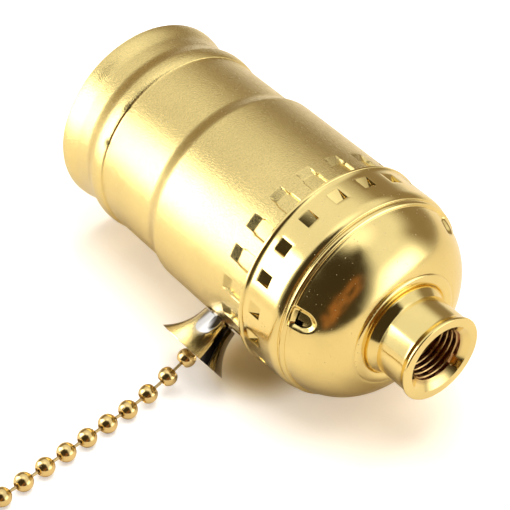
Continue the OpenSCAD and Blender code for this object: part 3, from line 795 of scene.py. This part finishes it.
def link_section(flange):
    """A wire pin with a flange at each end that the bead holds."""
    core, fillet = flange - 0.24, 0.52
    lower_half = [
        [(0.02, -LINK_HALF)],
        arc((core, -LINK_HALF + 0.16), (0.24, 0.16), -70, 60, 5),
        arc((fillet, -LINK_HALF + 0.62), (fillet - PIN_R, 0.28), 250, 180, 5),
    ]
    shank = line((PIN_R, -LINK_HALF + 0.7), (PIN_R, LINK_HALF - 0.7), 0.3)
    upper_half = [[(r, -z) for r, z in run[::-1]] for run in lower_half[::-1]]
    return profile(*lower_half, shank, *upper_half)


for node in bead_nodes:
    bead_shape = bead_section(GUIDE_HOLE_R if node.startswith("guide_bead") else HOLE_R)
    parts = []
    for i, points in enumerate(islands(node)):
        middle = (points.min(0) + points.max(0)) / 2
        near = sorted(all_links, key=lambda link: float(np.linalg.norm(link[0] - middle)))[:2]
        ways = [way for place, way in near if np.linalg.norm(place - middle) < LINK_REACH]
        axis = sum((way * np.sign(way @ ways[0]) for way in ways), np.zeros(3))
        roll = 2.4 * (middle[1] + i) % 6.28
        parts.append(turned(bead_shape, on_axis(middle, axis, roll), 56, bead_seam(bead_shape)))
    body = frame["nodes"][node]["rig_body"]
    build(node + "_balls", parts, body, node, "chain_brass")
for node in link_nodes:
    link_shape = link_section(GUIDE_FLANGE_R if node.startswith("guide_link") else FLANGE_R)
    parts = [turned(link_shape, on_axis(middle, axis), 20) for middle, axis in links[node]]
    body = frame["nodes"][node]["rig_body"]
    build(node + "_wires", parts, body, node, "link_brass")

# ---------------------------------------------------------------- softened edges on the inner CAD parts

for name in (
    "bushing_washer switch_cover switch_base cover_rivets line_terminal neutral_terminal terminal_screws "
    "lamp_contact_blade contact_rivet lever_spindle guide_nut rotor rotor_contact ratchet_wheel pull_lever "
    "pawl center_contact insulating_sleeve"
).split():
    bevel = frame["nodes"][name].modifiers.new("soft_edges", "BEVEL")
    bevel.width = 0.08 * MM
    bevel.segments = 2
    bevel.limit_method = "ANGLE"
    bevel.angle_limit = math.radians(40)

# ---------------------------------------------------------------- paper floor

low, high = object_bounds()
floor_z = low.z - 0.02 * MM
FLOOR_HALF = 1.6
PAPER, PAPER_LIGHT = (0.93, 0.925, 0.92, 1), (0.96, 0.955, 0.95, 1)
# Painted warm bounce light from the gold.
PAINTED_GOLD_BOUNCE = (1.0, 0.90, 0.76, 1)
# Painted shadow under the cap, tinted by the gold.
PAINTED_SHADOW_UNDER_CAP = (0.84, 0.66, 0.36, 1)
# A darker painted copy of the paper, seen only in mirrors.
PAINTED_PAPER_IN_MIRRORS = (0.78, 0.72, 0.63, 1)


def paper():
    """White paper with painted warm bounce light from the gold beside the socket, a painted shadow under the
    cap and a faint painted glow that lightens the floor's shadows.

    Mirror rays see a darker painted copy of the paper, which ends in front of the object as a table does.
    """
    material, n = new_material("paper")
    where = n.add("ShaderNodeTexCoord").outputs["Object"]
    color = n.mix(n.ramp(n.noise(where, 60.0, 3.0), 0.3, 0.7), PAPER, PAPER_LIGHT)
    x, y, _ = n.add("ShaderNodeSeparateXYZ", {"Vector": where}).outputs
    past_end = n.math("SUBTRACT", n.math("ABSOLUTE", n.math("ADD", x, 0.042)), 0.034)
    past_end = n.math("MAXIMUM", past_end, 0.0)
    from_axis = n.math("ADD", n.math("POWER", past_end, 2.0), n.math("POWER", y, 2.0))
    from_axis = n.math("POWER", from_axis, 0.5)
    # Painted warm bounce light from the gold, on the paper beside the socket.
    color = n.mix(n.ramp(from_axis, 0.034, 0.004), color, PAINTED_GOLD_BOUNCE)
    # Painted shadow, tinted by the gold, on the paper under the cap beside the bell.
    under_cap = (-0.031, -0.011, floor_z)
    from_cap = n.add("ShaderNodeVectorMath", {0: where, 1: under_cap}, operation="DISTANCE")
    shaded = n.ramp(from_cap.outputs["Value"], 0.011, 0.003)
    color = n.mix(shaded, color, PAINTED_SHADOW_UNDER_CAP)
    mirrored = n.add("ShaderNodeLightPath").outputs["Is Glossy Ray"]
    # Mirror rays see the darker painted copy of the paper.
    color = n.mix(mirrored, color, PAINTED_PAPER_IN_MIRRORS)
    # A faint painted glow lightens the paper's shadows; it dims in the painted shadow under the cap and is
    # off for mirror rays.
    painted_glow = n.math("SUBTRACT", 0.4, n.math("MULTIPLY", shaded, 0.32))
    painted_glow = n.math("MULTIPLY", painted_glow, n.ramp(mirrored, 1.0, 0.0))
    lit = {"Emission Color": color, "Emission Strength": painted_glow}
    surface = n.add("ShaderNodeBsdfPrincipled", {"Base Color": color, "Roughness": 0.6, **lit})
    toward_camera = (0.69, -0.72, 0.0)
    ahead = n.add("ShaderNodeVectorMath", {0: where, 1: toward_camera}, operation="DOT_PRODUCT")
    past_edge = n.math("MAXIMUM", n.ramp(ahead.outputs["Value"], 0.075, 0.11), n.ramp(x, -0.15, -0.18))
    clear = n.add("ShaderNodeBsdfTransparent")
    share = n.math("MULTIPLY", past_edge, mirrored)
    both = n.add("ShaderNodeMixShader", {0: share, 1: surface.outputs[0], 2: clear.outputs[0]})
    n.add("ShaderNodeOutputMaterial", {"Surface": both.outputs[0]})
    return material


floor_mesh = bpy.data.meshes.new("floor")
corners = [(x * FLOOR_HALF, y * FLOOR_HALF, floor_z) for x, y in ((-1, -1), (1, -1), (1, 1), (-1, 1))]
floor_mesh.from_pydata(corners, [], [(0, 1, 2, 3)])
floor_mesh.materials.append(paper())
add_object("floor", floor_mesh)

# ---------------------------------------------------------------- studio seen in the gold

world = bpy.data.worlds.new("studio")
bpy.context.scene.world = world
world.use_nodes = True
n = Nodes(world.node_tree)
way = n.add("ShaderNodeTexCoord").outputs["Generated"]
east, north, up = n.add("ShaderNodeSeparateXYZ", {"Vector": way}).outputs
azimuth = n.math("MULTIPLY", n.math("ARCTAN2", north, east), 180 / math.pi)
elevation = n.math("MULTIPLY", n.math("ARCSINE", up), 180 / math.pi)


def card(turn, tilt, feather):
    """1 inside a rectangle of the sky with soft edges, given by its azimuths and its elevations."""
    sideways = n.math("WRAP", n.math("SUBTRACT", azimuth, sum(turn) / 2), 180.0, -180.0)
    upward = n.math("SUBTRACT", elevation, sum(tilt) / 2)
    half_turn, half_tilt = (turn[1] - turn[0]) / 2, (tilt[1] - tilt[0]) / 2
    return n.math(
        "MULTIPLY",
        n.ramp(n.math("ABSOLUTE", sideways), half_turn + feather, half_turn - feather),
        n.ramp(n.math("ABSOLUTE", upward), half_tilt + feather, half_tilt - feather),
    )


def glow(turn, tilt, inner, outer):
    """1 within inner degrees of a direction, fading to 0 at outer degrees."""
    t, e = math.radians(turn), math.radians(tilt)
    aim = (math.cos(e) * math.cos(t), math.cos(e) * math.sin(t), math.sin(e))
    dot = n.add("ShaderNodeVectorMath", {0: way, 1: aim}, operation="DOT_PRODUCT").outputs["Value"]
    return n.ramp(dot, math.cos(math.radians(outer)), math.cos(math.radians(inner)))


BROWN_WALL = (0.30, 0.235, 0.16)
DARK_ROOM = (0.05, 0.038, 0.022)
WARM_LAMP = (0.38, 0.16, 0.055)
WHITE = (1.0, 1.0, 1.0)

# Straight up is bright. A brown wall stands beyond the object, a dark room with three warm lamps lies behind
# the camera, and the softbox at the right is brightest.
sky = n.mix(n.ramp(elevation, 60.0, 85.0), (0.98, 0.98, 0.98, 1), (1.5, 1.5, 1.5, 1))
sky = n.mix(card((58, 204), (-4, 38), 12), sky, rgba(BROWN_WALL))
sky = n.mix(card((-112, 2), (-40, 79), 13), sky, rgba(DARK_ROOM))
ripple = n.ramp(n.noise(way, 7.0, 3.0), 0.36, 0.6)
for turn, tilt in ((-45, 2), (-34, 14), (-21, 25)):
    sky = n.mix(n.math("MULTIPLY", glow(turn, tilt, 3, 16), ripple), sky, rgba(WARM_LAMP))
sky = n.mix(card((12, 46), (-24, 22), 13), sky, (3.0, 3.0, 3.0, 1))
background = n.add("ShaderNodeBackground", {"Color": sky, "Strength": 1.0})
white = n.add("ShaderNodeBackground", {"Color": rgba(WHITE), "Strength": 1.0})
seen = n.add("ShaderNodeLightPath").outputs["Is Camera Ray"]
both = n.add("ShaderNodeMixShader", {0: seen, 1: background.outputs[0], 2: white.outputs[0]})
n.add("ShaderNodeOutputWorld", {"Surface": both.outputs[0]})

# ---------------------------------------------------------------- fill light

lamp = bpy.data.lights.new("fill_top", "AREA")
lamp.size = 0.5
lamp.energy = 3.2
lamp.color = (1.0, 0.98, 0.96)
fill = add_object("fill_top", lamp)
fill.location = (-0.05, 0.05, 0.6)
fill.rotation_mode = "QUATERNION"
fill.rotation_quaternion = (Vector((-0.03, -0.02, 0)) - fill.location).to_track_quat("-Z", "Y")
fill.visible_glossy = False

# ---------------------------------------------------------------- card beside the socket


def reflector(name, y, x_span, z_span, level, feather):
    """A glowing card that only mirrors see: upright, facing +Y, with soft edges."""
    material, n = new_material(name)
    place = n.add("ShaderNodeTexCoord").outputs["Object"]
    x, _, z = n.add("ShaderNodeSeparateXYZ", {"Vector": place}).outputs
    share = 1.0
    for along, (start, end) in ((x, x_span), (z, z_span)):
        from_middle = n.math("ABSOLUTE", n.math("SUBTRACT", along, (start + end) / 2))
        inside = n.math("SUBTRACT", (end - start) / 2, from_middle)
        share = n.math("MULTIPLY", share, n.ramp(inside, 0.0, feather))
    light = n.add("ShaderNodeEmission", {"Color": (1.0, 0.98, 0.95, 1), "Strength": level})
    clear = n.add("ShaderNodeBsdfTransparent")
    both = n.add("ShaderNodeMixShader", {0: share, 1: clear.outputs[0], 2: light.outputs[0]})
    n.add("ShaderNodeOutputMaterial", {"Surface": both.outputs[0]})
    mesh = bpy.data.meshes.new(name)
    corners = [(x_span[i], y, z_span[j]) for i, j in ((0, 0), (1, 0), (1, 1), (0, 1))]
    mesh.from_pydata(corners, [], [(0, 1, 2, 3)])
    mesh.materials.append(material)
    obj = add_object(name, mesh)
    obj.visible_camera = obj.visible_diffuse = obj.visible_shadow = False


reflector("card_left", -0.092, (-0.160, -0.058), (-0.012, 0.092), 4.8, 0.014)

# ---------------------------------------------------------------- camera

# The photo's camera, found from the barrel's rings. It looks along CAMERA_TURN and down by CAMERA_TILT.
CAMERA_PLACE = (0.13640, -0.14288, 0.19953)
CAMERA_TURN, CAMERA_TILT = 141.849, 42.344

camera_data = bpy.data.cameras.new("camera")
camera_data.sensor_width = 36.0
camera_data.lens = 130.6
camera_data.clip_start, camera_data.clip_end = 0.01, 10.0
camera = add_object("camera", camera_data)
camera.matrix_world = (
    Matrix.Translation(CAMERA_PLACE)
    @ Matrix.Rotation(math.radians(CAMERA_TURN - 90), 4, "Z")
    @ Matrix.Rotation(math.radians(90 - CAMERA_TILT), 4, "X")
)
bpy.context.scene.camera = camera

bpy.context.scene.view_settings.view_transform = "Standard"
bpy.context.scene.view_settings.look = "None"
